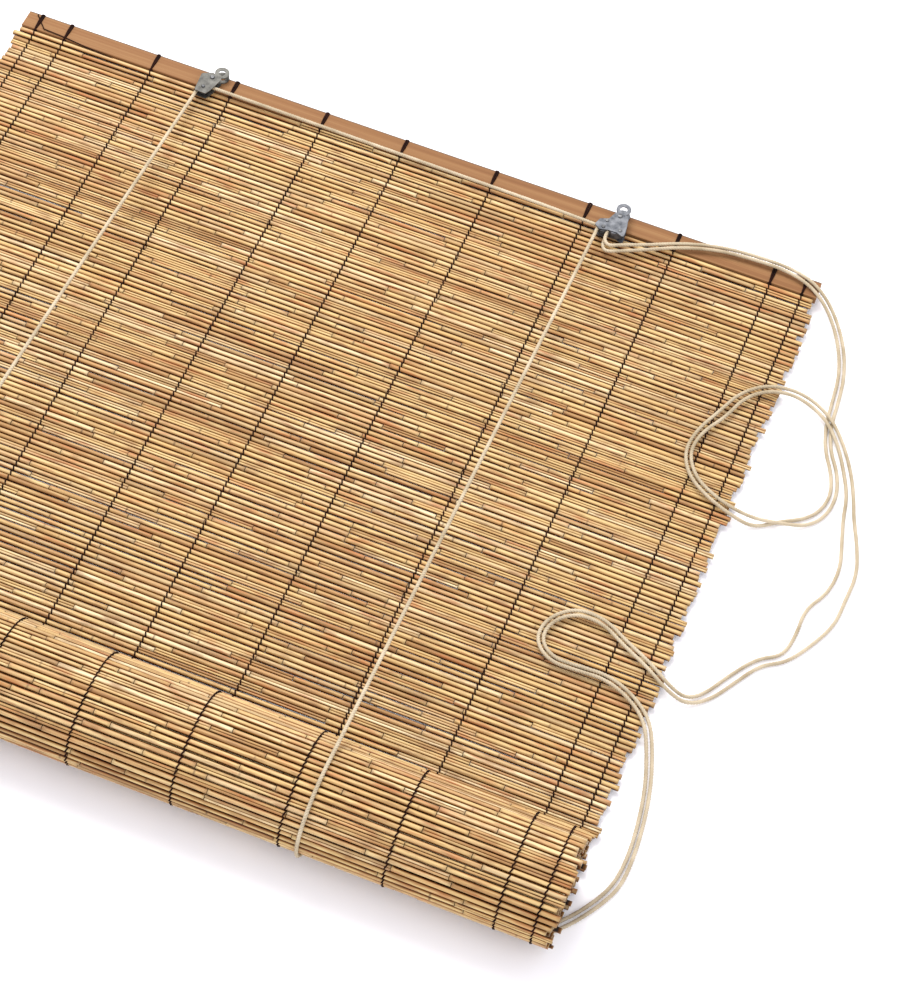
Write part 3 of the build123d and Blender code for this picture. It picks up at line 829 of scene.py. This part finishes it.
# Free pull cords, in millimetres from the rail's middle and its lower edge, with their height
rightPull = [
    (226, -25, 22), (232, -29, 20.5), (245, -21, 20), (268, -10, 19),
    (298, 6, 19), (336, 19, 19.5), (377, 23, 19.5), (415, 23, 19.5), (446, 14, 19),
    (472, -6, 11), (494, -38, 4), (506, -73, 2.2), (510, -107, 2.1), (512, -141, 2),
    (520, -168, 2), (535, -192, 2), (543, -220, 2), (539, -248, 2), (524, -266, 2.4),
    (501, -275, 6.6), (478, -280, 6.6), (456, -282, 12), (430, -276, 14.6), (406, -261, 14),
    (392, -236, 14), (396, -208, 14), (412, -181, 14), (421, -152, 14), (440, -133, 14.6),
    (464, -125, 12), (487, -127, 7), (508, -140, 7), (526, -162, 5), (541, -189, 2),
    (552, -215, 2), (556, -241, 2), (563, -268, 2), (571, -299, 2), (568, -331, 2),
    (553, -357, 2), (554, -389, 2), (549, -416, 2), (528, -428, 2), (510, -455, 2),
    (494, -485, 2), (479, -499, 4), (460, -496, 12), (437, -482, 14.6), (408, -468, 14),
    (382, -453, 14), (352, -452, 14), (330, -473, 14), (327, -500, 14), (347, -518, 14),
    (376, -517, 14), (404, -515, 14), (431, -526, 14.4), (453, -543, 12), (466, -573, 4.5),
    (476, -606, 2.2), (482, -645, 2), (484, -676, 2), (482, -704, 2), (473, -727, 2),
    (457, -752, 2), (441, -769, 2.4),
]
leftPull = [
    (225.4, -28, 17), (230, -34, 16.5), (244, -28, 17), (269, -16, 18.5),
    (300, 1, 19.2), (337, 14, 19.6), (377, 18, 19.4), (413, 18, 19.6), (443, 9, 18.8),
    (468, -9, 11), (489, -40, 4), (501, -75, 2.1), (504, -108, 2), (507, -142, 2.1),
    (515, -170, 2), (529, -194, 2), (537, -220, 2), (532, -244, 2), (519, -259, 2.1),
    (500, -270, 2.2), (478, -288, 2.3), (455, -290, 12), (427, -281, 14.4), (401, -264, 14.1),
    (387, -237, 14), (391, -206, 14), (404, -177, 14.1), (415, -148, 14), (437, -127, 14.5),
    (464, -119, 12), (489, -121, 7.1), (512, -136, 7), (531, -159, 5), (547, -185, 2.1),
    (558, -212, 2), (566, -238, 2), (578, -266, 2.1), (588, -299, 2), (586, -333, 2),
    (585, -361, 2), (574, -388, 2.1), (555, -421, 2), (533, -434, 2), (518, -459, 2.1),
    (501, -489, 2), (481, -505, 4), (458, -501, 12), (435, -487, 14.5), (406, -473, 14.1),
    (382, -458.5, 14), (354, -457.5, 14), (335, -475, 14.1), (332, -498, 14), (349, -513, 14),
    (376, -512, 14.1), (405, -510, 14), (434, -521.5, 14.3), (457.5, -540, 12), (471, -571, 4.5),
    (481, -605, 2.1), (487, -645, 2), (489, -676, 2.1), (488, -706, 2), (478, -730, 2),
    (461, -757, 2.1), (446, -774, 2.4),
]
knotLook = {
    "right": (425, -776, 4),
    "left": (432, -785.5, 4),
    "half": 0.005,
    "straight": 0.003,
    "steps": 59,
    "strandRadius": 0.0016,
    "sides": 8,
    "long": 0.0026,
    "lean": 0.0009,
    "thick": 0.0019,
    "core": 0.001,
    "joins": 0.0048,  # where the cord meets the knot
    "tailWidth": 0.85,
}


# A point of a pull cord's list, as a place in metres
def laidPlace(point):
    return Vector((point[0] / 1000, point[1] / 1000 + blind["edgeY"], point[2] / 1000))


def pullRoute(exitZ, points, knot):
    laid = [laidPlace(point) for point in points]
    middle = laidPlace(knot)
    away = laid[-1] - middle
    away.z = 0
    away.normalize()
    half, straight = knotLook["half"], knotLook["straight"]
    start = [Vector((*cordExit, exitZ)), Vector((cordExit[0], cordExit[1] - straight, exitZ))]
    ends = [middle + away * (half + straight), middle + away * half]
    return start + laid + ends, middle, away


# An overhand knot, with the cord going in at one side and its cut end out at the other
def knotPiece(name, middle, away):
    lines = Lines()
    across = Vector((-away.y, away.x, 0))
    upright = Vector((0, 0, 1))
    long, lean, thick = knotLook["long"], knotLook["lean"], knotLook["thick"]
    points = []
    for i in range(knotLook["steps"] + 1):
        t = 2 * math.pi * i / knotLook["steps"]
        along = away * (long * math.sin(2 * t) + lean * math.cos(t))
        wide = across * (thick * (math.cos(t) + 0.35 * math.cos(3 * t)) / 1.35)
        tall = upright * (thick * math.sin(t) * (1 + 0.3 * math.cos(2 * t)) / 1.3)
        points.append(tuple(middle + along + wide + tall))
    lines.add(points, 1.0)
    core = away * knotLook["core"]
    lines.add([tuple(middle + away * knotLook["joins"]), tuple(middle + core)], 1.0)
    tail = [tuple(middle - core), tuple(middle - away * knotLook["half"])]
    lines.add(tail, knotLook["tailWidth"])
    strand = knotLook["strandRadius"]
    return lines.make(name, strand, knotLook["sides"], materials["cotton_cord"])


pullPieces = {}
for side, exitZ, points in (
    ("right", grooves["upper"], rightPull), ("left", grooves["lower"], leftPull),
):
    route, middle, away = pullRoute(exitZ, points, knotLook[side])
    places = splineCord(side + "PullGuide", route)
    pullPieces[side] = {
        "cord": twisted(side + "PullCord", places),
        "knot": knotPiece(side + "Knot", middle, away),
        "places": places,
        "length": sum((b - a).length for a, b in zip(places, places[1:])),
        "exit": route[0],
    }
    print(side, "pull cord length", round(pullPieces[side]["length"], 3))


# The body a piece moves with, and the solids it stands for, which it hides
def dress(piece, body, slot, *standsFor):
    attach(piece, body)
    if standsFor:
        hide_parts(*standsFor)


# Gives a piece between the rail and the roll a mesh of its own; the share of it that would be left as the roll
# rises is worked out but not used
def shorten(piece, length):
    1 - rollTravel / length
    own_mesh(piece)


dress(flatMat, "blind", "reeds", "reed_mat")
shorten(flatMat, flatLength)
dress(rollMat, "roll", "reeds", "rolled_mat")
dress(flatThread, "blind", "dark_thread", *["warp_thread_%d" % i for i in threadNumbers])
shorten(flatThread, flatLength)
dress(railTies, "blind", "dark_thread")
dress(rollThread, "roll", "dark_thread", *["roll_thread_%d" % i for i in threadNumbers])
for side, made in liftPieces.items():
    for part in ("end", "back", "top"):
        dress(made[part], "blind", "cotton_cord")
    dress(made["head"], "blind", "cotton_cord", side + "_lift_cord")
    dress(made["wrap"], "roll", "cotton_cord")
    shorten(made["back"], made["backLength"])
    shorten(made["top"], made["topLength"])
for side, made in pullPieces.items():
    dress(made["cord"], "blind", "cotton_cord", side + "_pull_cord")
    dress(made["knot"], "blind", "cotton_cord", side + "_cord_knot")
print("pieces ride")

# Floor, a little below the cords that lie on it
floorLook = {"half": 40, "z": -0.0002, "color": (0.97, 0.96, 0.97, 1.0)}
floorMesh = bpy.data.meshes.new("floor")
corners = [
    (x * floorLook["half"], y * floorLook["half"], floorLook["z"])
    for x, y in ((-1, -1), (1, -1), (1, 1), (-1, 1))
]
floorMesh.from_pydata(corners, [], [(0, 1, 2, 3)])
floor = bpy.data.objects.new("floor", floorMesh)
scene.collection.objects.link(floor)
floorTree = MaterialTree("floorPaper")
floorMesh.materials.append(floorTree.finish(Base_Color=floorLook["color"], Roughness=0.9))

# Two soft lamps: a warm one from the upper left, and a weak cool one that fills the shadows
lamps = {
    "key": {
        "place": (-1.1, 1.7, 3.1), "target": (0.1, -0.05, 0),
        "size": 2.1, "energy": 134.0, "color": (1.0, 0.98, 0.95),
    },
    "fill": {
        "place": (1.8, -1.6, 2.6), "target": (0, 0, 0),
        "size": 2.5, "energy": 20.0, "color": (0.94, 0.96, 1.0),
    },
}
for name, lamp in lamps.items():
    data = bpy.data.lights.new(name, "AREA")
    data.size = lamp["size"]
    data.energy = lamp["energy"]
    data.color = lamp["color"]
    light = bpy.data.objects.new(name, data)
    light.location = lamp["place"]
    light.rotation_mode = "QUATERNION"
    towards = Vector(lamp["target"]) - Vector(lamp["place"])
    light.rotation_quaternion = towards.to_track_quat("-Z", "Y")
    scene.collection.objects.link(light)

# The world lights the blind softly, and is white where it is seen, mirrored or seen through
skyLook = {"soft": (0.93, 0.93, 0.99, 1), "softStrength": 1.18, "white": (1, 1, 1, 1)}
world = bpy.data.worlds.new("studio")
world.use_nodes = True
scene.world = world
sky = Tree(world.node_tree)
seenDirectly, mirrored, seenThrough = (
    sky.node("ShaderNodeLightPath", output=ray)
    for ray in ("Is Camera Ray", "Is Glossy Ray", "Is Transmission Ray")
)
softInputs = {"Color": skyLook["soft"], "Strength": skyLook["softStrength"]}
soft = sky.node("ShaderNodeBackground", {}, softInputs)
white = sky.node("ShaderNodeBackground", {}, {"Color": skyLook["white"], "Strength": 1.0})
seen = seenDirectly.larger(mirrored).larger(seenThrough)
blended = sky.node("ShaderNodeMixShader", {}, {0: seen, 1: soft, 2: white})
sky.node("ShaderNodeOutputWorld", {}, {"Surface": blended})

# The camera fitted to the photograph
cameraLook = {
    "lens": 106.344,
    "sensorHeight": 36.0,
    "place": (0.630, -1.544075, 2.38598),
    "turnDeg": (33.9828, -3.8845, 21.3631),
    "clip": (0.05, 100),
}
cameraData = bpy.data.cameras.new("camera")
cameraData.sensor_fit = "VERTICAL"
cameraData.sensor_height = cameraLook["sensorHeight"]
cameraData.lens = cameraLook["lens"]
cameraData.clip_start, cameraData.clip_end = cameraLook["clip"]
camera = bpy.data.objects.new("camera", cameraData)
camera.location = cameraLook["place"]
camera.rotation_euler = [math.radians(angle) for angle in cameraLook["turnDeg"]]
scene.collection.objects.link(camera)
scene.camera = camera
scene.view_settings.view_transform = "Standard"
print("floor, lamps and camera ready")
